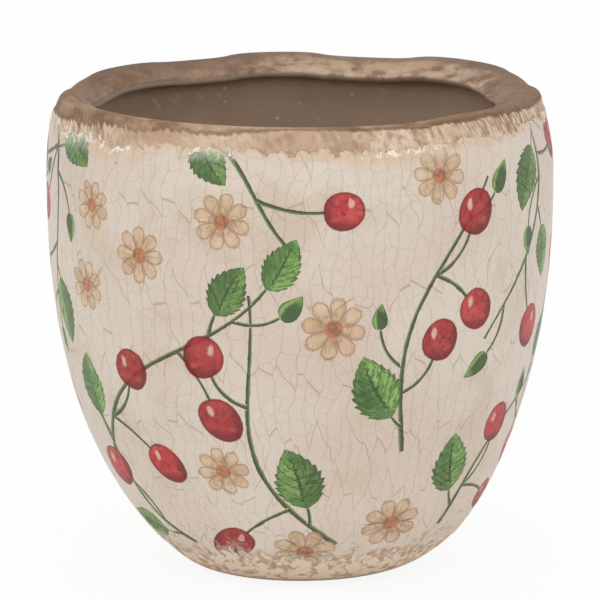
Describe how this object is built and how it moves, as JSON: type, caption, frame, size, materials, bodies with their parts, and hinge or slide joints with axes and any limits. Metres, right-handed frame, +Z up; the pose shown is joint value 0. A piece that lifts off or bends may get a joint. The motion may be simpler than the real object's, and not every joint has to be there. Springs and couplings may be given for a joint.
{
  "type": "ceramic cover pot",
  "caption": "Round bellied ceramic cover pot with a hand-pressed lobed rim, a glazed outside, a sealed inside and felt pads under its foot.",
  "frame": {"origin": "middle of the footprint, on the surface that the pot stands on", "axes": "+Z up through the mouth; -Y is the side that faces the viewer; +X to the viewer's right"},
  "size_m": [0.2001, 0.2001, 0.1916],
  "materials": {
    "fired_clay": "matte, washed with brown and cream",
    "crackle_glaze": "satin crackled glaze over a printed decoration",
    "inner_coat": "matte sealing coat",
    "felt": "pale pressed wool felt"
  },
  "bodies": {
    "root": {"clay_body": "fired_clay", "outer_glaze": "crackle_glaze", "inner_coat": "inner_coat", "felt_pad_1": "felt", "felt_pad_2": "felt", "felt_pad_3": "felt"}
  },
  "joints": []
}
